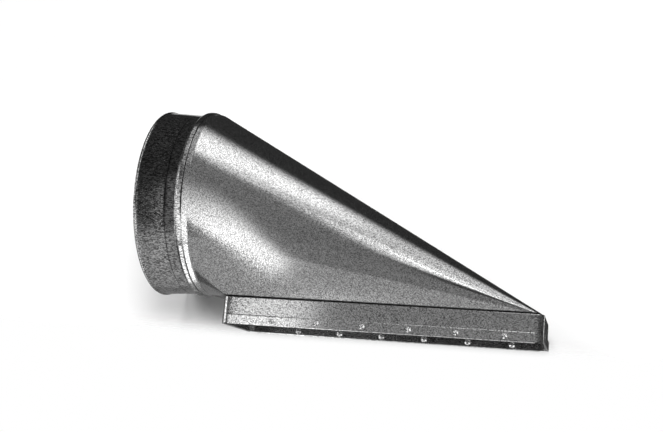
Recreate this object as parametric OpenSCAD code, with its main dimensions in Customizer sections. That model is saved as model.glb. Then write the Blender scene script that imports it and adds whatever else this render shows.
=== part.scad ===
// Stack boot in galvanised sheet steel: a beaded round collar, a square-to-round transition body
// and a shallow hemmed collar for a rectangular wall stack.
// X runs along the long side of the stack opening and the round collar faces -X.
// Z = 0 is the open rim of the stack collar, and the origin is the middle of that opening.

/* [Stack opening] */
// Clear length of the rectangular opening
stack_l = 254; // [200:1:360]
// Clear width of the rectangular opening
stack_w = 82.5; // [64:0.5:110]
// Height of the rectangular collar
stack_h = 22; // [20:0.5:40]
// Inside radius of the rectangular collar's corners
corner_r = 4; // [1.5:0.5:6]

/* [Round opening] */
// Outside diameter of the pipe that slides into the round collar
pipe_d = 152.4; // [100:0.1:220]
// Clearance between that pipe and its seat, on the diameter
pipe_clearance = 1; // [0.4:0.1:3]
// Length of the parallel seat next to the bead
seat_len = 9; // [5:0.5:25]
// Length of the flared mouth, with its lip
flare_len = 26; // [12:0.5:50]
// How far the flare opens out, on the radius
flare_rise = 1.7; // [0.5:0.1:4]
// Width of the lip rolled round the mouth
lip_w = 2.4; // [1.6:0.1:4]
// How far the lip stands out from the flare
lip_rise = 0.7; // [0.5:0.1:1.5]
// Height of the rolled bead above the collar
bead_rise = 2.6; // [1.5:0.1:4]

/* [Placement] */
// Distance from the end of the stack opening to the middle of the bead
bead_reach = 34; // [26:0.5:80]
// Height of the neck's underside above the body's lower bend
throat_rise = 4.15; // [1:0.05:60]

/* [Sheet and joints] */
// Thickness of the sheet
sheet_t = 0.5; // [0.4:0.05:0.8]
// Gap between the body's skirt and the inside of the stack collar
skirt_gap = 0.6; // [0.3:0.1:1]
// Depth of the body's skirt inside the stack collar
skirt_len = 10; // [6:0.5:11]
// Gap between the body's bend and the top edge of the stack collar
edge_gap = 0.3; // [0.2:0.1:1]
// Gap between the collar's tail and the body's neck around it
neck_gap = 0.15; // [0.1:0.05:0.4]
// Length of the body's parallel neck
neck_len = 3.6; // [3:0.1:10]
// Gap between the neck's edge and the bead, and behind the tail's end
stop_gap = 0.4; // [0.3:0.1:1]
// Outward bow of the body's long sides, as the tangent's turn from the middle to the corner
long_bow = 0.45; // [0.2:0.05:0.5]
// Outward bow of the body's short sides, measured the same way
short_bow = 0.6; // [0.2:0.1:1]

/* [Hem and dimples] */
// Height of the hem folded up outside the stack collar
hem_h = 8; // [6:0.5:8.5]
// Gap left inside the hem
hem_gap = 0.6; // [0.3:0.1:1]
// Distance from each outer corner to the end of a hem
hem_inset = 6; // [4:0.5:10]
// Distance from the end of the opening to the first dimple
dimple_first = 42; // [20:0.5:60]
// Distance between dimples
dimple_pitch = 36.7; // [20:0.1:60]
// Least distance from the last dimple to the other end of the opening
dimple_margin = 12; // [8:1:30]
// Diameter of a dimple at the hem's face
dimple_d = 4; // [2.5:0.1:4.5]
// Depth of a dimple, and its height inside the collar
dimple_depth = 1; // [0.6:0.1:1.2]

/* [Hidden] */
$fn = 96;
// Surface steps along half a long side, half a short side, a near corner and a far corner
long_steps = 4;
short_steps = 4;
left_steps = 18;
right_steps = 34;
// Tangent angle across the boot, at either end of its outline
right_angle = 90;

// Round collar, measured from the bead along its axis
seat_r = (pipe_d + pipe_clearance) / 2;
bead_r = bead_rise + sheet_t;
bead_half = sqrt(bead_r * bead_r - sheet_t * sheet_t);
bead_x = -stack_l / 2 - bead_reach;
seat_x = -bead_half - seat_len;
rim_x = seat_x - flare_len;
tail_x = bead_half + neck_len;
groove_half = bead_r - sheet_t;

// Transition body
ring_x = bead_x + bead_half + stop_gap + neck_len;
neck_r = seat_r + sheet_t + neck_gap + sheet_t;
root_z = stack_h + edge_gap;
round_z = root_z + throat_rise + neck_r;
drop = root_z - round_z;
skirt_hl = stack_l / 2 - skirt_gap;
skirt_hw = stack_w / 2 - skirt_gap;
skirt_r = corner_r;

// Stack collar
fold_r = hem_gap / 2 + sheet_t;
hem_out = hem_gap + sheet_t;
long_hem = stack_l + 2 * sheet_t - 2 * hem_inset;
short_hem = stack_w + 2 * sheet_t - 2 * hem_inset;
dimple_z = hem_h / 2;
dimple_count = floor((stack_l - dimple_first - dimple_margin) / dimple_pitch) + 1;
dimple_base_r = dimple_d / 2 + sheet_t;

// The skirt's outline is a rectangle with bowed sides and round corners, drawn by the angle of
// its tangent. These are the radii of the long and short sides that close it.
bow_a = sin(long_bow);
bow_b = 1 - cos(short_bow);
bow_c = 1 - cos(long_bow);
bow_d = sin(short_bow);
bow_p = skirt_hl - skirt_r * (cos(short_bow) - sin(long_bow));
bow_q = skirt_hw - skirt_r * (cos(long_bow) - sin(short_bow));
bow_det = bow_a * bow_d - bow_b * bow_c;
long_r = (bow_p * bow_d - bow_b * bow_q) / bow_det;
short_r = (bow_a * bow_q - bow_c * bow_p) / bow_det;
corner_start = [long_r * sin(long_bow), long_r * (1 - cos(long_bow)) - skirt_hw];
corner_mid = corner_start + skirt_r * [-sin(long_bow), cos(long_bow)];
corner_end = corner_mid + skirt_r * [cos(short_bow), -sin(short_bow)];

// Point of the outline's front right quarter whose tangent makes the angle t with X
function quarter(t) =
    t <= long_bow
    ? [long_r * sin(t), long_r * (1 - cos(t)) - skirt_hw]
    : t <= right_angle - short_bow
    ? corner_mid + skirt_r * [sin(t), -cos(t)]
    : corner_end + short_r * [sin(t) - cos(short_bow), sin(short_bow) - cos(t)];

// Point of the outline's front half, for tangents from -90 at the left to 90 at the right
function outline(t) = [sign(t) * quarter(abs(t)).x, quarter(abs(t)).y];

// Angle on the neck where one plane touches both the outline at tangent t and the neck's circle
function ring_angle(t) =
    let (
        foot = outline(t),
        y = foot.y + (ring_x - foot.x) * tan(t),
        reach = norm([y, drop])
    )
    360 + atan2(drop, y) - acos(neck_r / reach);

// The other way round: the tangent at a corner whose plane touches the neck at the angle a
function corner_tangent(a, side) =
    let (
        y = (neck_r - drop * sin(a)) / cos(a),
        centre = [side * corner_mid.x - ring_x, corner_mid.y - y]
    )
    atan2(centre.y, centre.x) - asin(skirt_r / norm(centre));

// Evenly spaced values from a up to, but not with, b
function steps(a, b, n) = [for (i = [0 : n - 1]) a + (b - a) * i / n];

// Tangents of the rulings along the front half, left to right. Corners are spaced by the angle
// that they cover on the neck.
function corner_steps(from, to, n, side) =
    [for (a = steps(ring_angle(from), ring_angle(to), n)) corner_tangent(a, side)];
left_end = short_bow - right_angle;
right_end = right_angle - short_bow;
front = concat(
    steps(-right_angle, left_end, short_steps),
    corner_steps(left_end, -long_bow, left_steps, -1),
    steps(-long_bow, long_bow, 2 * long_steps),
    corner_steps(long_bow, right_end, right_steps, 1),
    steps(right_end, right_angle, short_steps),
    [right_angle]
);

// Ends of the ruling at tangent t, and the sheet's outward normal along it
function foot_point(t) = [outline(t).x, outline(t).y, root_z];
function neck_point(t) =
    [ring_x, neck_r * cos(ring_angle(t)), round_z + neck_r * sin(ring_angle(t))];
function unit(v) = v / norm(v);
function ruling_normal(t) = unit(cross([cos(t), sin(t), 0], neck_point(t) - foot_point(t)));
function skirt_normal(t) = [sin(t), -cos(t), 0];
function neck_normal(t) = [0, cos(ring_angle(t)), sin(ring_angle(t))];

// Step from the outer skin to the inner one at a bend between faces with normals m and n
function mitre(m, n) = sheet_t * (m + n) / (1 + m * n);

// Section of the sheet at tangent t: down the outside from neck to skirt and back up the inside
function section(t) =
    let (
        top = neck_point(t),
        foot = foot_point(t),
        top_in = top - mitre(neck_normal(t), ruling_normal(t)),
        foot_in = foot - mitre(skirt_normal(t), ruling_normal(t)),
        edge_x = bead_x + bead_half + stop_gap,
        edge_z = stack_h - skirt_len
    )
    [
        [edge_x, top.y, top.z],
        top,
        foot,
        [foot.x, foot.y, edge_z],
        [foot_in.x, foot_in.y, edge_z],
        foot_in,
        top_in,
        [edge_x, top_in.y, top_in.z]
    ];

// The same section on the far side
function mirrored(points) = [for (p = points) [p.x, -p.y, p.z]];

// The body: one sheet ruled between the round neck and the rectangular skirt, so that it is a
// flat triangle on each side and part of a cone at each corner
module transition_body() {
    near = [for (t = front) section(t)];
    far = [for (i = [len(near) - 2 : -1 : 1]) mirrored(near[i])];
    sections = concat(near, far);
    count = len(sections);
    side = len(sections[0]);
    points = [for (s = sections) for (p = s) p];
    faces = [
        for (i = [0 : count - 1])
            for (j = [0 : side - 1])
                let (
                    a = i * side + j,
                    b = i * side + (j + 1) % side,
                    c = ((i + 1) % count) * side + (j + 1) % side,
                    d = ((i + 1) % count) * side + j
                )
                each [[a, c, b], [a, d, c]]
    ];
    color("silver")
        polyhedron(points, faces);
}

// Half section of the round collar's wall, as x along the axis and y out from it
module collar_section() {
    flare_r = seat_r + flare_rise;
    lip_r = lip_rise / 2 + sheet_t / 2;
    // Parallel tail, bead and seat
    difference() {
        union() {
            translate([seat_x, seat_r])
                square([tail_x - seat_x, sheet_t]);
            translate([0, seat_r])
                circle(bead_r);
        }
        translate([0, seat_r])
            circle(groove_half);
        translate([-bead_r, seat_r - bead_r])
            square([2 * bead_r, bead_r]);
    }
    // Flare
    polygon([
        [seat_x, seat_r],
        [seat_x, seat_r + sheet_t],
        [rim_x + lip_r, flare_r + sheet_t],
        [rim_x + lip_r, flare_r]
    ]);
    // Lip folded back over the flare's end
    translate([rim_x + lip_r, flare_r + lip_r])
        circle(lip_r);
    translate([rim_x + lip_r, flare_r])
        square([lip_w - lip_r, 2 * lip_r]);
}

// The round collar, rolled from a strip, with its bead, its parallel seat and its flared mouth
module round_collar() {
    color("dimgray")
        translate([bead_x, 0, round_z])
            rotate([0, 90, 0])
                rotate_extrude()
                    mirror([1, -1, 0])
                        collar_section();
}

// Rectangle with round corners, centred
module rounded_rectangle(l, w, r) {
    square([l - 2 * r, w], center = true);
    square([l, w - 2 * r], center = true);
    for (x = [-1, 1], y = [-1, 1])
        translate([x * (l / 2 - r), y * (w / 2 - r)])
            circle(r);
}

// A hem of length l: the sheet folded out and up, hanging from a wall face at y = 0
module hem(l) {
    rotate([90, 0, 90])
        linear_extrude(l, center = true)
            mirror([1, 0])
                translate([hem_gap / 2, fold_r]) {
                    difference() {
                        circle(fold_r);
                        circle(hem_gap / 2);
                        translate([-fold_r, 0])
                            square([2 * fold_r, fold_r]);
                    }
                    translate([hem_gap / 2, 0])
                        square([sheet_t, hem_h - fold_r]);
                }
}

// Places what hangs on the near wall on both long walls, at each dimple
module at_dimples() {
    for (side = [0, 1], i = [0 : dimple_count - 1])
        mirror([0, side, 0])
            translate([
                dimple_first - stack_l / 2 + i * dimple_pitch,
                -stack_w / 2,
                dimple_z
            ])
                rotate([90, 0, 0])
                    children();
}

// Metal pressed together at a dimple, with its bump inside the opening
module dimple_metal() {
    bump_r = (dimple_base_r * dimple_base_r + dimple_depth * dimple_depth) / (2 * dimple_depth);
    cylinder(h = sheet_t + hem_out, r = dimple_base_r);
    intersection() {
        translate([0, 0, bump_r - dimple_depth])
            sphere(bump_r);
        translate([0, 0, -dimple_depth])
            cylinder(h = dimple_depth, r = dimple_base_r);
    }
}

// Hollow pressed into the hem's face at a dimple
module dimple_hollow() {
    half = dimple_d / 2;
    hollow_r = (half * half + dimple_depth * dimple_depth) / (2 * dimple_depth);
    translate([0, 0, sheet_t + hem_out + hollow_r - dimple_depth])
        sphere(hollow_r);
}

// The stack collar: a rectangular band with a dimpled hem round its open rim
module stack_collar() {
    color("lightgray")
        difference() {
            union() {
                translate([0, 0, fold_r])
                    linear_extrude(stack_h - fold_r)
                        difference() {
                            rounded_rectangle(
                                stack_l + 2 * sheet_t,
                                stack_w + 2 * sheet_t,
                                corner_r + sheet_t
                            );
                            rounded_rectangle(stack_l, stack_w, corner_r);
                        }
                for (turn = [0, 180])
                    rotate(turn) {
                        translate([0, -stack_w / 2 - sheet_t, 0])
                            hem(long_hem);
                        rotate(90)
                            translate([0, -stack_l / 2 - sheet_t, 0])
                                hem(short_hem);
                    }
                at_dimples()
                    dimple_metal();
            }
            at_dimples()
                dimple_hollow();
        }
}

transition_body();
round_collar();
stack_collar();
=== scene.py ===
import math
import bpy
import numpy as np
from mathutils import Matrix, Vector


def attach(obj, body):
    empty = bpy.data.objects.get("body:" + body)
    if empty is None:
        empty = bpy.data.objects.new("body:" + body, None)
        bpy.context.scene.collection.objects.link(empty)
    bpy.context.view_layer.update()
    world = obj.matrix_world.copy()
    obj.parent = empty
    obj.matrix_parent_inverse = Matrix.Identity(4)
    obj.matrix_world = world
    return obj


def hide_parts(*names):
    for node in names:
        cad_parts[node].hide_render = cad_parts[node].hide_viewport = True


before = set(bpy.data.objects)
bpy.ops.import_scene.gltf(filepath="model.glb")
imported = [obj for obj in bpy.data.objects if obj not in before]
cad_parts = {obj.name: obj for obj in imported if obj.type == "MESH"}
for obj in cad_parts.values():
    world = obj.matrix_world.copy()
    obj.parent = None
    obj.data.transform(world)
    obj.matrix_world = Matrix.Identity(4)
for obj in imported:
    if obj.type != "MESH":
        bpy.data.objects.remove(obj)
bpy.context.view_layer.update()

mm = 0.001

# camera, fitted to the photograph's outlines
camera = {
    "place": (0.16437, -0.8671, -0.06511),  # metres
    "turn": 14.129,  # degrees to the left of looking along +Y
    "rise": 10.392,  # degrees above the horizon
    "roll": 4.836,
    "lens": 58.698,  # mm on a 36 mm wide sensor
}


def makeCamera(c):
    # looking direction from turn and rise, then right and up turned round it by the roll
    turn, rise, roll = (math.radians(c[k]) for k in ("turn", "rise", "roll"))
    ahead = Vector((-math.sin(turn) * math.cos(rise), math.cos(turn) * math.cos(rise), math.sin(rise)))
    level = Vector((math.cos(turn), math.sin(turn), 0))
    above = level.cross(ahead)
    right = level * math.cos(roll) + above * math.sin(roll)
    up = above * math.cos(roll) - level * math.sin(roll)
    data = bpy.data.cameras.new("camera")
    data.sensor_width = 36
    data.lens = c["lens"]
    data.clip_start = 0.01
    cam = bpy.data.objects.new("camera", data)
    cam.matrix_world = Matrix.Translation(c["place"]) @ Matrix((right, up, -ahead)).transposed().to_4x4()
    bpy.context.scene.collection.objects.link(cam)
    bpy.context.scene.camera = cam


makeCamera(camera)
print("camera placed")


def makeObject(name, parts, smooth):
    # one mesh from (points, faces) arrays, smooth but for edges sharper than the angle in degrees
    offsets = np.cumsum([0] + [len(p) for p, f in parts])
    points = np.concatenate([p for p, f in parts])
    faces = np.concatenate([f + o for (p, f), o in zip(parts, offsets)])
    mesh = bpy.data.meshes.new(name)
    mesh.from_pydata((points * mm).tolist(), [], faces.tolist())
    mesh.validate()
    mesh.shade_smooth()
    mesh.set_sharp_from_angle(angle=math.radians(smooth))
    piece = bpy.data.objects.new(name, mesh)
    bpy.context.scene.collection.objects.link(piece)
    return piece


def grid(points, closeRows, closeColumns, flip=False):
    # the points of a grid in a row, and the corner numbers of each cell, closed round either way if wanted
    rows, columns = points.shape[:2]
    i = np.arange(rows if closeRows else rows - 1)[:, None]
    j = np.arange(columns if closeColumns else columns - 1)[None, :]
    nextI, nextJ = (i + 1) % rows, (j + 1) % columns
    quads = np.stack([i * columns + j, nextI * columns + j, nextI * columns + nextJ, i * columns + nextJ], -1)
    quads = quads[..., ::-1] if flip else quads
    return points.reshape(-1, 3), quads.reshape(-1, 4)


def unit(v):
    return v / np.linalg.norm(v, axis=-1, keepdims=True)


def arc(centre, radius, start, stop, steps):
    # points (centre + radius cos a, centre + radius sin a) for a from start to stop, in degrees
    a = np.radians(np.linspace(start, stop, steps))
    return np.stack([centre[0] + radius * np.cos(a), centre[1] + radius * np.sin(a)], -1)


# sizes that the three pieces share, in mm
boot = {
    "stackLength": 254.0, "stackWidth": 82.5, "stackHeight": 22.0, "cornerRadius": 4.0,
    "sheet": 0.5, "seatRadius": 76.7, "beadX": -161.0, "beadRadius": 3.1,
    "edgeGap": 0.3, "neckGap": 0.15, "neckLength": 3.6, "stopGap": 0.4, "throatRise": 4.15,
}
boot["beadHalf"] = math.sqrt(boot["beadRadius"] ** 2 - boot["sheet"] ** 2)
boot["neckRadius"] = boot["seatRadius"] + 2 * boot["sheet"] + boot["neckGap"]
boot["rootZ"] = boot["stackHeight"] + boot["edgeGap"]
boot["axisZ"] = boot["rootZ"] + boot["throatRise"] + boot["neckRadius"]

# transition body: a sheet ruled between the round neck and the rectangular skirt
body = {
    "skirtGap": 0.6, "skirtLength": 10.0,
    "longBow": 0.45, "shortBow": 0.6,  # degrees that the sides' tangents turn from middle to corner
    "neckBend": 0.9, "footBend": 0.9,  # length of sheet taken up by each bend, either side
    "neckLift": 0.45, "neckReach": 0.6,  # how far the neck's cut edge stands off the collar, and reaches into the stop's gap
}


def bodyOutline(b):
    # returns a function of the tangent angle: a point on the skirt's outline, a rectangle with bowed sides and round corners
    lb, sb, r = math.radians(b["longBow"]), math.radians(b["shortBow"]), boot["cornerRadius"]
    hl, hw = boot["stackLength"] / 2 - b["skirtGap"], boot["stackWidth"] / 2 - b["skirtGap"]
    p = hl - r * (math.cos(sb) - math.sin(lb))
    q = hw - r * (math.cos(lb) - math.sin(sb))
    longRadius, shortRadius = np.linalg.solve([[math.sin(lb), 1 - math.cos(sb)], [1 - math.cos(lb), math.sin(sb)]], [p, q])
    start = np.array([longRadius * math.sin(lb), longRadius * (1 - math.cos(lb)) - hw])
    middle = start + r * np.array([-math.sin(lb), math.cos(lb)])
    end = middle + r * np.array([math.cos(sb), -math.sin(sb)])

    def outline(t):
        a = np.abs(t)[:, None]
        longSide = np.hstack([longRadius * np.sin(a), longRadius * (1 - np.cos(a)) - hw])
        corner = middle + r * np.hstack([np.sin(a), -np.cos(a)])
        shortSide = end + shortRadius * np.hstack([np.sin(a) - math.cos(sb), math.sin(sb) - np.cos(a)])
        point = np.where(a <= lb, longSide, np.where(a <= math.pi / 2 - sb, corner, shortSide))
        return point * np.stack([np.sign(t), np.ones_like(t)], -1)

    return outline, lb, sb, middle


def bend(corner, before, after, size, steps):
    # a curve that leaves one line and joins the next, from a square-law blend of the two round their corner
    s = np.linspace(0, 1, steps)[None, :, None]
    a, b = (corner + before * size)[:, None], (corner + after * size)[:, None]
    return a * (1 - s) ** 2 + 2 * corner[:, None] * s * (1 - s) + b * s ** 2


def transitionBody(b):
    # each ruling joins the skirt's outline to the neck where one plane touches both, and the inside is set in by the sheet
    outline, lb, sb, middle = bodyOutline(b)
    ringX = boot["beadX"] + boot["beadHalf"] + boot["stopGap"] + boot["neckLength"]
    neckR, rootZ, axisZ = boot["neckRadius"], boot["rootZ"], boot["axisZ"]
    drop = rootZ - axisZ

    def neckAngle(t):
        foot = outline(t)
        y = foot[:, 1] + (ringX - foot[:, 0]) * np.tan(t)
        return 2 * math.pi + np.arctan2(drop, y) - np.arccos(neckR / np.hypot(y, drop))

    def cornerTangent(a, side):
        y = (neckR - drop * np.sin(a)) / np.cos(a)
        cx, cy = side * middle[0] - ringX, middle[1] - y
        return np.arctan2(cy, cx) - np.arcsin(boot["cornerRadius"] / np.hypot(cx, cy))

    limit = math.pi / 2 - 1e-7
    edge = math.pi / 2 - sb
    ends = neckAngle(np.array([-edge, -lb, lb, edge]))
    near = np.concatenate([
        np.linspace(-limit, -edge, 8, endpoint=False),
        cornerTangent(np.linspace(ends[0], ends[1], 110, endpoint=False), -1),
        np.linspace(-lb, lb, 40, endpoint=False),
        cornerTangent(np.linspace(ends[2], ends[3], 170, endpoint=False), 1),
        np.linspace(edge, limit, 9),
    ])
    flat, angle = outline(near), neckAngle(near)
    zero = np.zeros_like(near)
    foot = np.stack([flat[:, 0], flat[:, 1], zero + rootZ], -1)
    neck = np.stack([zero + ringX, neckR * np.cos(angle), axisZ + neckR * np.sin(angle)], -1)
    tangent = np.stack([np.cos(near), np.sin(near), zero], -1)
    face = unit(np.cross(tangent, neck - foot))
    skirtFace = np.stack([np.sin(near), -np.cos(near), zero], -1)
    neckFace = np.stack([zero, np.cos(angle), np.sin(angle)], -1)

    def inward(m, n):
        return boot["sheet"] * (m + n) / (1 + (m * n).sum(-1, keepdims=True))

    down = unit(foot - neck)
    toSkirt = np.array([0, 0, -1.0])
    alongNeck = unit(np.array([-boot["neckLength"] - b["neckReach"], 0, 0]) + neckFace * b["neckLift"])
    s = np.linspace(0, 1, 26)[1:-1, None]

    def skin(top, bottom, reach, neckSize, footSize):
        first = top + alongNeck * (boot["neckLength"] + reach)
        last = bottom + toSkirt * (b["skirtLength"] + boot["edgeGap"])
        a = bend(top, alongNeck, down, neckSize, 9)
        c = bend(bottom, -down, toSkirt, footSize, 7)
        middleLine = a[:, -1:] * (1 - s) + c[:, :1] * s
        return np.concatenate([first[:, None], a, middleLine, c, last[:, None]], 1)

    outer = skin(neck, foot, b["neckReach"], b["neckBend"], b["footBend"])
    inner = skin(neck - inward(neckFace, face), foot - inward(skirtFace, face), b["neckReach"] - 0.3, b["neckBend"] - 0.1, b["footBend"] - 0.2)
    section = np.concatenate([outer, inner[:, ::-1]], 1)
    far = section[-2:0:-1] * np.array([1, -1, 1])
    piece = makeObject("transitionSheet", [grid(np.concatenate([section, far]), True, True)], 50)
    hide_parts("transition_body")
    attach(piece, "root")
    return piece


sheet = transitionBody(body)
print("transition body made")

# round collar: a rolled strip with a tail, a bead, a parallel seat, a flare and a folded lip
collar = {
    "seatLength": 9.0, "flareLength": 26.0, "flareRise": 1.7,
    "lipWidth": 2.4, "lipHeight": 1.2, "lipFoot": 0.35,
    "beadFillet": 0.7, "beadTop": 3.0, "beadSlope": 0.12,
    "turns": 480,  # steps round the ring
}


def collarProfile(c):
    # x along the axis from the bead and y out from the seat's inside: the outer skin from tail to lip, then the inner skin back
    t, half, bead = boot["sheet"], boot["beadHalf"], boot["beadRadius"]
    tailX, seatX = half + boot["neckLength"], -half - c["seatLength"]
    rimX, fillet = seatX - c["flareLength"], c["beadFillet"]
    # the fillet's centre stands its radius above the sheet and clear of the bead by the same
    reach = math.sqrt((bead + fillet) ** 2 - (t + fillet) ** 2)
    turn = math.degrees(math.atan2(t + fillet, reach))
    tail = np.array([[tailX, 0.0], [tailX, t]])
    rightFillet = arc((reach, t + fillet), fillet, 270, 180 + turn, 6)
    # the bead's dome is squared up at the body's side, and its top cut to a slope that falls towards the body
    circle = arc((0, 0), bead, turn, 180 - turn, 61)
    square = bead * np.sign(circle) * np.abs(circle / bead) ** (2 / 3)
    mix = np.clip(2 * np.sin(np.linspace(0, math.pi, 61)), 0, 1)[:, None] * (circle[:, :1] > 0)
    dome = circle * (1 - mix) + square * mix
    dome[:, 1] = np.minimum(dome[:, 1], c["beadTop"] - c["beadSlope"] * dome[:, 0])
    leftFillet = arc((-reach, t + fillet), fillet, 360 - turn, 270, 6)
    x = np.append(seatX + 2, np.linspace(seatX, rimX + c["lipWidth"] + 0.1, 16))
    flare = np.stack([x, t + np.clip(seatX - x, 0, None) * c["flareRise"] / c["flareLength"]], -1)
    # the lip is crowned, half an ellipse from its cut edge to the rim, and turns in under it
    base, foot = c["flareRise"], c["lipFoot"]
    crown = arc((0, 0), 1, 0, 180, 21) * [c["lipWidth"] / 2, c["lipHeight"] - foot] + [rimX + c["lipWidth"] / 2, base + foot]
    under = arc((rimX + foot, base + foot), foot, 180, 270, 7)[1:]
    x = np.linspace(rimX + foot + 0.5, seatX, 12)
    innerFlare = np.stack([x, (seatX - x) * c["flareRise"] / c["flareLength"]], -1)
    inside = arc((0, 0), bead - t, 180, 0, 31)
    return np.concatenate([tail, rightFillet, dome, leftFillet, flare, crown, under, innerFlare, inside])


def roundCollar(c):
    # the profile turned round the collar's axis: (x, r cos a, axis + r sin a)
    profile = collarProfile(c)
    a = np.linspace(0, 2 * math.pi, c["turns"], endpoint=False)[:, None]
    r = boot["seatRadius"] + profile[None, :, 1]
    x = np.broadcast_to(boot["beadX"] + profile[None, :, 0], (c["turns"], len(profile)))
    points = np.stack([x, r * np.cos(a), boot["axisZ"] + r * np.sin(a)], -1)
    piece = makeObject("collarRing", [grid(points, True, True, True)], 40)
    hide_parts("round_collar")
    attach(piece, "root")
    return piece


ring = roundCollar(collar)
print("round collar made")

# stack collar: a band bent to a rectangle, with a dimpled hem round its open rim
band = {
    "hemHeight": 8.0, "hemGap": 0.6, "hemInset": 6.0,
    "dimpleFirst": 42.0, "dimplePitch": 36.7, "dimpleCount": 6, "dimpleZ": 4.0,
    "dimpleRadius": 2.0, "bumpRadius": 2.5, "dimpleDepth": 1.0,
    "edge": 0.2,  # rounding of the sheet's cut edges
    "hemLean": 0.3,  # how far the long hems' faces lean out
    "hemCrown": 0.8, "wallCrown": 0.5,  # heights of the rounded tops
}


def dimple(x, z, radius, depth):
    # depth of the dents at (x, z): a bowl whose depth falls with the square of the distance to the nearest dimple's middle
    first = band["dimpleFirst"] - boot["stackLength"] / 2
    k = np.clip(np.round((x - first) / band["dimplePitch"]), 0, band["dimpleCount"] - 1)
    away = np.hypot(x - first - k * band["dimplePitch"], z - band["dimpleZ"]) / radius
    return depth * np.clip(1 - away ** 2, 0, None) ** 1.15


def fineSteps(start, stop, coarse):
    # places along a long side, close together at the dimples and evenly spaced between
    first = band["dimpleFirst"] - boot["stackLength"] / 2
    middles = first + band["dimplePitch"] * np.arange(band["dimpleCount"])
    close = (middles[:, None] + np.linspace(-2.8, 2.8, 25)).ravel()
    even = np.linspace(start, stop, coarse)
    clear = np.abs(even[:, None] - middles).min(1) > 3.2
    return np.sort(np.concatenate([even[clear], close[(close > start + 0.5) & (close < stop - 0.5)]]))


def bandWall(b):
    # the wall's section, carried round a rectangle with round corners, with bumps inside at the dimples
    hl, hw, r, t, e = boot["stackLength"] / 2, boot["stackWidth"] / 2, boot["cornerRadius"], boot["sheet"], b["edge"]
    low, high = t + b["hemGap"] / 2, boot["stackHeight"]
    top = high - b["wallCrown"]
    rows = np.concatenate([np.linspace(low, 6.8, 25), np.linspace(7.4, top - 0.2, 5)])
    x = fineSteps(-hl + r, hl - r, 70)
    corner = np.radians(np.linspace(-90, 0, 13))[1:-1]
    y = np.linspace(-hw + r, hw - r, 24)

    def way(n):
        # outline at distance n outside the opening's face, starting along the near side
        c = r + n
        near = np.stack([x, np.full_like(x, -hw - n)], -1)
        turn = np.stack([hl - r + c * np.cos(corner), -hw + r + c * np.sin(corner)], -1)
        side = np.stack([np.full_like(y, hl + n), y], -1)
        half = np.concatenate([near, turn, side])
        back = np.stack([hl - r + c * np.cos(-corner[::-1]), hw - r + c * np.sin(-corner[::-1])], -1)
        far = near[::-1] * [1, -1]
        left = np.concatenate([far, turn * [-1, -1], side * [-1, -1], back * [-1, -1]])
        return np.concatenate([half, back, left])

    def skin(n, z, bump):
        flat = way(n)
        out = np.where(np.abs(flat[:, 1]) > hw - 0.1, -np.sign(flat[:, 1]), 0) * (np.abs(flat[:, 0]) < hl - r)
        shift = dimple(flat[:, 0][:, None], z[None], b["bumpRadius"], b["dimpleDepth"]) * bump * out[:, None]
        return np.stack([np.broadcast_to(flat[:, :1], shift.shape), flat[:, 1:] + shift, np.broadcast_to(z[None], shift.shape)], -1)

    outer, inner = skin(t, rows, 1), skin(0, rows[::-1], 1)
    lip = [skin(e + (t - e) * math.sin(a), np.array([top + b["wallCrown"] * math.cos(a)]), 0) for a in np.linspace(math.pi / 2, 0, 8)]
    lipIn = [skin(e - e * math.sin(a), np.array([high - e + e * math.cos(a)]), 0) for a in np.linspace(0, math.pi / 2, 5)]
    return grid(np.concatenate([outer, *lip, *lipIn, inner], 1), True, True)


def hem(b, length, across, turned, dimpled):
    # the hem's section, a strip folded out and up from the wall, carried along one side, with its ends closed
    t, gap, e = boot["sheet"], b["hemGap"], b["edge"]
    fold = t + gap / 2
    x = fineSteps(-length / 2, length / 2, 70) if dimpled else np.linspace(-length / 2, length / 2, 24)
    lean, crown, top = b["hemLean"] if dimpled else 0, b["hemCrown"], b["hemHeight"] - b["hemCrown"]
    rows = np.linspace(fold, top - 0.2, 25)
    slope = lean * (rows - fold) / (top - fold)
    # outer skin and inner skin, point for point: the fold, the face and the rounded top
    outer = [arc((fold, fold), fold, 180, 360, 15)[:-1], np.stack([2 * fold + slope, rows], -1),
             arc((0, 0), 1, 0, 90, 8) * [t, crown] + [t + gap + lean, top]]
    inner = [arc((fold, fold), gap / 2, 180, 360, 15)[:-1], np.stack([t + gap + slope, rows], -1),
             np.stack([np.full(8, t + gap + lean), np.linspace(top, b["hemHeight"] - e / 2, 8)], -1)]
    section = np.concatenate([*outer, *(part[::-1] for part in inner[::-1])])
    kind = np.repeat([0, 1, 0, 0, 2, 0], [14, 25, 8, 8, 25, 14])
    n = np.broadcast_to(section[:, 0], (len(x), len(section))).copy()
    z = np.broadcast_to(section[:, 1], n.shape)
    if dimpled:
        n -= np.where(kind == 1, dimple(x[:, None], z, b["dimpleRadius"], b["dimpleDepth"]), 0)
        n -= np.where(kind == 2, dimple(x[:, None], z, b["bumpRadius"], b["dimpleDepth"]), 0)
    along = np.broadcast_to(x[:, None], n.shape)
    points = np.stack([along, -across - n, z], -1)
    turn = np.array([[math.cos(turned), math.sin(turned), 0], [-math.sin(turned), math.cos(turned), 0], [0, 0, 1]])
    return points @ turn


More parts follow.
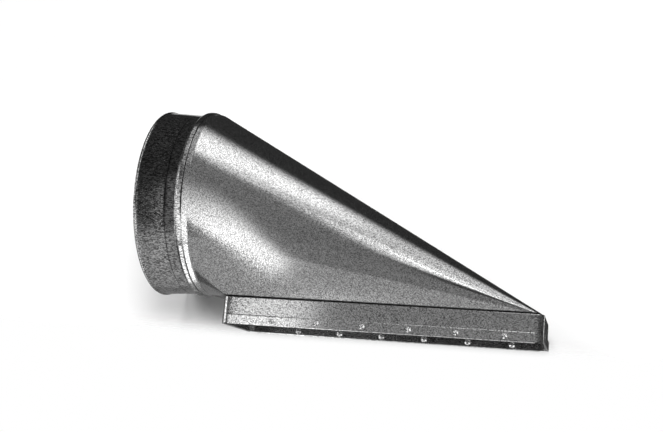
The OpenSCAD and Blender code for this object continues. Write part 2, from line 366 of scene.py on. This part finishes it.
def stackCollar(b):
    # the wall and four hems: each hem ends in a cap between its outer and inner skins
    hl, hw = boot["stackLength"] / 2, boot["stackWidth"] / 2
    parts = [bandWall(b)]
    longHem = 2 * (hl + boot["sheet"] - b["hemInset"])
    shortHem = 2 * (hw + boot["sheet"] - b["hemInset"])
    sides = ((longHem, hw, 0, True), (shortHem, hl, math.pi / 2, False), (longHem, hw, math.pi, True), (shortHem, hl, -math.pi / 2, False))
    for length, across, turned, dimpled in sides:
        points = hem(b, length, across, turned, dimpled)
        parts.append(grid(points, False, True, True))
        # each cap joins a point of the outer skin to the one across the sheet
        count = points.shape[1]
        k = np.arange(count // 2 - 1)
        quads = np.stack([k, k + 1, count - 2 - k, count - 1 - k], -1)
        parts += [(points[0], quads[:, ::-1]), (points[-1], quads)]
    piece = makeObject("stackBand", parts, 40)
    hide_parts("stack_collar")
    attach(piece, "root")
    return piece


rim = stackCollar(band)
print("stack collar made")

# zinc-coated steel: speckle in cells per metre
finishes = {
    # the sheet's and the ring's crease entries paint shade in a thin line: where the body meets the stack collar's top
    # edge, and round the ring's fold between seat and flare
    "sheet": {"colour": 0.6, "rough": 0.11, "speckle": 2500, "stretch": (1, 1, 1), "contrast": 0.65, "tilt": 0.018, "matt": 0.03, "paintedCreaseShade": ("Z", 0.0228, 0.0003, 0.0011)},
    "ring": {"colour": 0.47, "rough": 0.1, "speckle": 1800, "stretch": (0.4, 1, 1), "contrast": 0.7, "tilt": 0.012, "matt": 0.02, "paintedCreaseShade": ("X", -0.17306, 0, 0.0005)},
    # the band's colour is set lighter than the sheet's as painted light that lifts its shaded inside, and its pale
    # entry paints a highlight on the hems
    "band": {"colour": 0.72, "rough": 0.13, "speckle": 2400, "stretch": (1, 1, 1), "contrast": 0.8, "tilt": 0.03, "matt": 0.1, "pale": (0.0086, 0.0078, 1.12)},
}


def galvanised(name, f):
    # crystals in the zinc, each with its own tint, gloss and tilt, and half of them a little matt; painted shade
    # darkens a line along a crease, and a painted highlight makes a part paler
    m = bpy.data.materials.new(name)
    m.use_nodes = True
    nodes, links = m.node_tree.nodes, m.node_tree.links
    shader = nodes["Principled BSDF"]

    def maths(kind, operation, first, second=None, value=None):
        made = nodes.new("Shader" + kind)
        made.operation = operation
        links.new(first, made.inputs[0])
        if second is not None:
            links.new(second, made.inputs[1])
        if value is not None:
            made.inputs[1].default_value = value
        return made.outputs[0]

    def span(source, low, high, start=0, stop=1):
        # the source from start to stop, mapped to low to high
        made = nodes.new("ShaderNodeMapRange")
        for key, value in zip(("From Min", "From Max", "To Min", "To Max"), (start, stop, low, high)):
            made.inputs[key].default_value = value
        links.new(source, made.inputs["Value"])
        return made.outputs["Result"]

    place = nodes.new("ShaderNodeTexCoord")
    stretch = nodes.new("ShaderNodeMapping")
    stretch.inputs["Scale"].default_value = f["stretch"]
    links.new(place.outputs["Object"], stretch.inputs["Vector"])
    cell = nodes.new("ShaderNodeTexVoronoi")
    cell.inputs["Scale"].default_value = f["speckle"]
    links.new(stretch.outputs["Vector"], cell.inputs["Vector"])
    chance = nodes.new("ShaderNodeSeparateColor")
    links.new(cell.outputs["Color"], chance.inputs["Color"])
    split = nodes.new("ShaderNodeSeparateXYZ")
    links.new(place.outputs["Object"], split.inputs["Vector"])
    tint = span(chance.outputs["Red"], f["colour"] * (1 - f["contrast"]), f["colour"] * (1 + f["contrast"]), 0.15, 0.85)
    # painted shade: the tint darkens towards a line across one axis, standing for the shade in a crease
    if "paintedCreaseShade" in f:
        axis, middle, dark, half = f["paintedCreaseShade"]
        away = maths("NodeMath", "ABSOLUTE", maths("NodeMath", "SUBTRACT", split.outputs[axis], value=middle))
        tint = maths("NodeMath", "MULTIPLY", tint, span(away, 0, 1, dark, half))
    # painted highlight: the tint is made lighter below the top of the hems, standing for the brighter light they catch
    if "pale" in f:
        start, stop, gain = f["pale"]
        tint = maths("NodeMath", "MULTIPLY", tint, span(split.outputs["Z"], 1, gain, start, stop))
    links.new(tint, shader.inputs["Base Color"])
    links.new(span(chance.outputs["Blue"], 1, 1 - f["matt"], 0.5), shader.inputs["Metallic"])
    links.new(span(chance.outputs["Green"], f["rough"] * 1.3, f["rough"] * 0.7), shader.inputs["Roughness"])
    facing = nodes.new("ShaderNodeNewGeometry")
    lean = maths("NodeVectorMath", "SUBTRACT", cell.outputs["Color"], value=(0.5, 0.5, 0.5))
    lean = maths("NodeVectorMath", "MULTIPLY", lean, value=(f["tilt"],) * 3)
    normal = maths("NodeVectorMath", "NORMALIZE", maths("NodeVectorMath", "ADD", facing.outputs["Normal"], lean))
    links.new(normal, shader.inputs["Normal"])
    return m


for piece, key in ((sheet, "sheet"), (ring, "ring"), (rim, "band")):
    piece.data.materials.append(galvanised(key + "Zinc", finishes[key]))
print("materials made")

# studio: dark walls and soft panels that only reflections see
walls = {"left": 0.1, "right": 0.04, "front": 0.22, "back": 0.03, "below": 0.38, "above": 0.03}
roomLow, roomHigh = (-2.4, -1.7, -1.9), (2.4, 2.4, 2.4)

# rows of a left and a right corner in metres, brightness, and how much fades out at the left, right, first and last sides
panels = {
    "leftStrip": ([((-0.262, -0.45, 0.32), (-0.12, -0.45, 0.32)), ((-0.262, -0.45, 0.2), (-0.12, -0.45, 0.2)),
                   ((-0.264, -0.45, 0.1), (-0.125, -0.45, 0.1)), ((-0.268, -0.45, 0.0), (-0.14, -0.45, 0.0)),
                   ((-0.276, -0.45, -0.1), (-0.16, -0.45, -0.1)), ((-0.288, -0.45, -0.2), (-0.175, -0.45, -0.2)),
                   ((-0.308, -0.45, -0.3), (-0.195, -0.45, -0.3)), ((-0.327, -0.45, -0.4), (-0.218, -0.45, -0.4)),
                   ((-0.338, -0.45, -0.47), (-0.236, -0.45, -0.47)), ((-0.338, -0.45, -0.52), (-0.252, -0.45, -0.52)),
                   ((-0.329, -0.45, -0.55), (-0.268, -0.45, -0.55)), ((-0.31, -0.45, -0.575), (-0.288, -0.45, -0.575))],
                  1.6, (0.08, 0.36, 0.45, 0.03)),
    "darkLeft": ([((-1.6, -0.99, 2.4), (-0.3, -0.99, 2.4)), ((-0.85, -0.99, 0.9), (-0.36, -0.99, 0.9)), ((-0.8, -0.99, -0.85), (-0.46, -0.99, -0.85))],
                 0.03, (0.12, 0.1, 0, 0.15)),
    "greyLeft": ([((-0.85, -0.98, 0.7), (-0.5, -0.98, 0.7)), ((-0.85, -0.98, -0.7), (-0.5, -0.98, -0.7))], 0.14, (0.05, 0.2, 0.3, 0.2)),
    "leftFront": ([((-2.3, -1.05, 0.9), (-0.8, -1.05, 0.9)), ((-2.3, -1.05, -0.2), (-0.85, -1.05, -0.2)), ((-2.3, -1.05, -0.9), (-1.05, -1.05, -0.9)),
                   ((-2.3, -1.05, -1.5), (-1.35, -1.05, -1.5))], 1.6, (0, 0.15, 0.3, 0.3)),
    "darkFront": ([((-0.32, -0.98, 0.95), (0.2, -0.98, 0.95)), ((-0.34, -0.98, -0.3), (0.16, -0.98, -0.3))], 0.2, (0.25, 0.25, 0.25, 0.25)),
    "rightBlob": ([((0.0, -0.97, 1.0), (0.75, -0.97, 1.0)), ((0.03, -0.97, 0.72), (0.72, -0.97, 0.72)), ((0.04, -0.97, 0.5), (0.68, -0.97, 0.5)),
                   ((0.06, -0.97, 0.33), (0.62, -0.97, 0.33)), ((0.09, -0.97, 0.15), (0.55, -0.97, 0.15))], 1.1, (0.25, 0.2, 0.02, 0.25)),
    "ridge": ([((0.19, -0.95, 0.7), (0.24, -0.95, 0.7)), ((0.225, -0.95, 0.42), (0.285, -0.95, 0.42)), ((0.29, -0.95, 0.2), (0.36, -0.95, 0.2))],
              2.6, (0.3, 0.3, 0.3, 0.3)),
    "highFront": ([((-0.3, -1.0, 2.4), (1.6, -1.0, 2.4)), ((-0.1, -1.0, 0.95), (1.2, -1.0, 0.95))], 1.0, (0.2, 0.2, 0.2, 0.2)),
    "backLow": ([((-2.35, 2.35, 0.1), (2.35, 2.35, 0.1)), ((-2.35, 2.35, -1.85), (2.35, 2.35, -1.85))], 0.22, (0, 0, 0.1, 0)),
    "overhead": ([((-0.25, 0.17, 1.0), (0.3, 0.14, 1.0)), ((-0.25, -0.8, 1.0), (0.3, -0.8, 1.0))], 1.5, (0.1, 0.35, 0.5, 0.4)),
    "overheadWide": ([((-0.45, 0.2, 1.02), (1.0, 0.2, 1.02)), ((-0.25, -0.5, 1.02), (1.0, -0.5, 1.02)), ((-0.05, -0.75, 1.02), (1.0, -0.75, 1.02)),
                      ((0.1, -1.0, 1.02), (1.0, -1.0, 1.02))], 0.75, (0.15, 0.2, 0.25, 0.1)),
    "neckHigh": ([((-0.7, -0.985, 2.4), (-0.25, -0.985, 2.4)), ((-0.6, -0.985, 1.9), (-0.28, -0.985, 1.9)), ((-0.42, -0.985, 1.08), (-0.25, -0.985, 1.08)),
                  ((-0.36, -0.985, 0.7), (-0.25, -0.985, 0.7))], 0.45, (0.1, 0.2, 0, 0.3)),
    "neckLow": ([((-0.7, -1.14, -1.84), (-0.5, -1.14, -1.84)), ((-0.68, -0.7, -1.84), (-0.45, -0.7, -1.84)),
                 ((-0.655, -0.1, -1.84), (-0.45, -0.1, -1.84)), ((-0.69, 0.4, -1.84), (-0.45, 0.4, -1.84)), ((-0.79, 1.0, -1.84), (-0.5, 1.0, -1.84)),
                 ((-0.86, 1.4, -1.84), (-0.5, 1.4, -1.84))], 2.0, (0.05, 0.1, 0.02, 0.35)),
    "neckTop": ([((-0.41, 0.15, 1.03), (-0.27, 0.15, 1.03)), ((-0.41, -0.6, 1.03), (-0.27, -0.6, 1.03))], 0.45, (0.15, 0.2, 0.2, 0.2)),
    "underneath": ([((-0.7, -1.3, -1.85), (0.7, -1.3, -1.85)), ((-0.7, 0.5, -1.85), (0.7, 0.5, -1.85))], 0.9, (0.1, 0.1, 0.15, 0.1)),
    "leftWall": ([((-2.25, -1.65, 1.5), (-2.25, -0.15, 1.5)), ((-2.25, -1.65, -1.85), (-2.25, -0.15, -1.85))], 1.1, (0.1, 0.15, 0.2, 0.1)),
    "darkRight": ([((0.12, -1.65, 0.9), (2.35, -1.65, 0.9)), ((0.12, -1.65, -0.15), (2.35, -1.65, -0.15))], 0.04, (0.05, 0.05, 0.1, 0.1)),
    "rightLow": ([((2.25, -1.65, -0.25), (2.25, 0.2, -0.25)), ((2.25, -1.65, -1.85), (2.25, 0.2, -1.85))], 1.6, (0.1, 0.15, 0.2, 0.1)),
    "frontLow": ([((0.5, -1.6, -0.3), (2.2, -1.6, -0.3)), ((0.5, -1.6, -1.85), (2.2, -1.6, -1.85))], 1.2, (0.2, 0.1, 0.2, 0.1)),
    "backLeft": ([((-2.2, 2.2, 1.7), (-0.9, 2.2, 1.7)), ((-2.2, 2.2, 0.35), (-0.9, 2.2, 0.35))], 0.8, (0.25, 0.25, 0.25, 0.25)),
    "backRight": ([((0.75, 2.2, 0.5), (2.2, 2.2, 0.5)), ((0.75, 2.2, -0.3), (2.2, 2.2, -0.3))], 1.2, (0.2, 0.2, 0.2, 0.2)),
}


def panel(name, rows, grey, soft=None):
    # a flat emitting ribbon: towards each side it fades as the smooth step of the distance from it
    mesh = bpy.data.meshes.new(name)
    count = len(rows)
    mesh.from_pydata([corner for row in rows for corner in row], [], [(2 * k, 2 * k + 1, 2 * k + 3, 2 * k + 2) for k in range(count - 1)])
    layer = mesh.uv_layers.new(name="UVMap")
    across = np.tile([0, 1, 1, 0], count - 1)
    down = (np.arange(count - 1)[:, None] + [0, 0, 1, 1]).ravel() / (count - 1)
    layer.data.foreach_set("uv", np.stack([across, down], -1).ravel().astype(np.float32))
    piece = bpy.data.objects.new(name, mesh)
    bpy.context.scene.collection.objects.link(piece)
    m = bpy.data.materials.new(name)
    m.use_nodes = True
    nodes, links = m.node_tree.nodes, m.node_tree.links
    nodes.remove(nodes["Principled BSDF"])
    glow = nodes.new("ShaderNodeEmission")
    glow.inputs["Color"].default_value = (grey, grey, grey, 1)
    last = glow.outputs["Emission"]
    if soft:
        place = nodes.new("ShaderNodeTexCoord")
        split = nodes.new("ShaderNodeSeparateXYZ")
        links.new(place.outputs["UV"], split.inputs["Vector"])
        strength = None
        sides = (("X", 0, soft[0]), ("X", 1, 1 - soft[1]), ("Y", 0, soft[2]), ("Y", 1, 1 - soft[3]))
        for axis, start, stop in (side for side in sides if side[1] != side[2]):
            fade = nodes.new("ShaderNodeMapRange")
            fade.interpolation_type = "SMOOTHSTEP"
            fade.inputs["From Min"].default_value, fade.inputs["From Max"].default_value = start, stop
            links.new(split.outputs[axis], fade.inputs["Value"])
            if strength is None:
                strength = fade.outputs["Result"]
                continue
            both = nodes.new("ShaderNodeMath")
            both.operation = "MULTIPLY"
            links.new(strength, both.inputs[0])
            links.new(fade.outputs["Result"], both.inputs[1])
            strength = both.outputs["Value"]
        clear = nodes.new("ShaderNodeBsdfTransparent")
        mix = nodes.new("ShaderNodeMixShader")
        links.new(strength, mix.inputs["Fac"])
        links.new(clear.outputs["BSDF"], mix.inputs[1])
        links.new(last, mix.inputs[2])
        last = mix.outputs["Shader"]
    links.new(last, nodes["Material Output"].inputs["Surface"])
    mesh.materials.append(m)
    piece.visible_camera = piece.visible_diffuse = piece.visible_shadow = False


(x0, y0, z0), (x1, y1, z1) = roomLow, roomHigh
wallRows = {
    "left": [((x0, y0, z0), (x0, y1, z0)), ((x0, y0, z1), (x0, y1, z1))],
    "right": [((x1, y0, z0), (x1, y1, z0)), ((x1, y0, z1), (x1, y1, z1))],
    "front": [((x0, y0, z0), (x1, y0, z0)), ((x0, y0, z1), (x1, y0, z1))],
    "back": [((x0, y1, z0), (x1, y1, z0)), ((x0, y1, z1), (x1, y1, z1))],
    "below": [((x0, y0, z0), (x1, y0, z0)), ((x0, y1, z0), (x1, y1, z0))],
    "above": [((x0, y0, z1), (x1, y0, z1)), ((x0, y1, z1), (x1, y1, z1))],
}
for side, grey in walls.items():
    panel("wall" + side.capitalize(), wallRows[side], grey)
for name, (rows, grey, soft) in panels.items():
    panel(name, rows, grey, soft)

# floor under the open rim, and the leaning board that the boot's far side touches, both seen from the front only
papers = {
    "floor": {"point": (0, 0, -0.0003), "across": (1, 0, 0), "up": (0, 1, 0), "size": 2.6, "fadeFrom": 0.9, "fadeTo": 2.2, "foot": (-2, -1)},
    "board": {"point": (0, 0.0445, 0), "across": (1, 0, 0), "up": (0, 0.375, 0.927), "size": 0.75, "fadeFrom": 0.3, "fadeTo": 0.7, "foot": (-0.006, 0.012)},
}


def paper(name, p):
    # a pale sheet: matt, clear from behind, and fading out by the smooth step of the distance from its middle and of the height
    middle, a, b = (np.array(p[k], float) for k in ("point", "across", "up"))
    corners = [tuple(middle + p["size"] * (u * a + v * b)) for u, v in ((-1, -1), (1, -1), (1, 1), (-1, 1))]
    mesh = bpy.data.meshes.new(name)
    mesh.from_pydata(corners, [], [(0, 1, 2, 3)])
    piece = bpy.data.objects.new(name, mesh)
    bpy.context.scene.collection.objects.link(piece)
    m = bpy.data.materials.new(name + "Paper")
    m.use_nodes = True
    nodes, links = m.node_tree.nodes, m.node_tree.links
    nodes.remove(nodes["Principled BSDF"])
    place = nodes.new("ShaderNodeTexCoord")
    away = nodes.new("ShaderNodeVectorMath")
    away.operation = "DISTANCE"
    away.inputs[1].default_value = p["point"]
    links.new(place.outputs["Object"], away.inputs[0])
    fade = nodes.new("ShaderNodeMapRange")
    fade.interpolation_type = "SMOOTHSTEP"
    fade.inputs["From Min"].default_value, fade.inputs["From Max"].default_value = p["fadeFrom"], p["fadeTo"]
    fade.inputs["To Min"].default_value, fade.inputs["To Max"].default_value = 1, 0
    links.new(away.outputs["Value"], fade.inputs["Value"])
    split = nodes.new("ShaderNodeSeparateXYZ")
    links.new(place.outputs["Object"], split.inputs["Vector"])
    foot = nodes.new("ShaderNodeMapRange")
    foot.interpolation_type = "SMOOTHSTEP"
    foot.inputs["From Min"].default_value, foot.inputs["From Max"].default_value = p["foot"]
    links.new(split.outputs["Z"], foot.inputs["Value"])
    both = nodes.new("ShaderNodeMath")
    both.operation = "MULTIPLY"
    links.new(fade.outputs["Result"], both.inputs[0])
    links.new(foot.outputs["Result"], both.inputs[1])
    side = nodes.new("ShaderNodeNewGeometry")
    front = nodes.new("ShaderNodeMath")
    front.operation = "SUBTRACT"
    front.use_clamp = True
    links.new(both.outputs["Value"], front.inputs[0])
    links.new(side.outputs["Backfacing"], front.inputs[1])
    matt = nodes.new("ShaderNodeBsdfDiffuse")
    matt.inputs["Color"].default_value = (0.8, 0.8, 0.8, 1)
    clear = nodes.new("ShaderNodeBsdfTransparent")
    mix = nodes.new("ShaderNodeMixShader")
    links.new(front.outputs["Value"], mix.inputs["Fac"])
    links.new(clear.outputs["BSDF"], mix.inputs[1])
    links.new(matt.outputs["BSDF"], mix.inputs[2])
    links.new(mix.outputs["Shader"], nodes["Material Output"].inputs["Surface"])
    mesh.materials.append(m)
    piece.visible_glossy = piece.visible_diffuse = piece.visible_shadow = False


for name, settings in papers.items():
    paper(name, settings)

lamps = {
    "right": {"place": (0.4, -1.6, 0.5), "aim": (-0.03, 0, 0.07), "size": 0.7, "watts": 17},
    "left": {"place": (-0.95, -1.45, 0.35), "aim": (-0.03, 0, 0.07), "size": 0.7, "watts": 9.5},
    "top": {"place": (-0.1, -1.1, 1.3), "aim": (-0.03, 0, 0.07), "size": 0.9, "watts": 16},
}
for name, lamp in lamps.items():
    data = bpy.data.lights.new(name, "AREA")
    data.shape, data.size, data.energy = "DISK", lamp["size"], lamp["watts"]
    light = bpy.data.objects.new(name, data)
    light.location = lamp["place"]
    light.rotation_euler = (Vector(lamp["aim"]) - Vector(lamp["place"])).to_track_quat("-Z", "Y").to_euler()
    light.visible_glossy = False
    bpy.context.scene.collection.objects.link(light)

# world: white where it is seen, straight or in metal, and a softer light on matt things
world = bpy.data.worlds.new("studio")
bpy.context.scene.world = world
world.use_nodes = True
nodes, links = world.node_tree.nodes, world.node_tree.links
ray = nodes.new("ShaderNodeLightPath")
seen = nodes.new("ShaderNodeMath")
seen.operation = "MAXIMUM"
links.new(ray.outputs["Is Camera Ray"], seen.inputs[0])
links.new(ray.outputs["Is Glossy Ray"], seen.inputs[1])
through = nodes.new("ShaderNodeMath")
through.operation = "MAXIMUM"
links.new(seen.outputs["Value"], through.inputs[0])
links.new(ray.outputs["Is Transmission Ray"], through.inputs[1])
level = nodes.new("ShaderNodeMapRange")
level.inputs["To Min"].default_value, level.inputs["To Max"].default_value = 0.22, 1
links.new(through.outputs["Value"], level.inputs["Value"])
nodes["Background"].inputs["Color"].default_value = (1, 1, 1, 1)
links.new(level.outputs["Result"], nodes["Background"].inputs["Strength"])

bpy.context.scene.view_settings.view_transform = "Standard"
print("studio made")
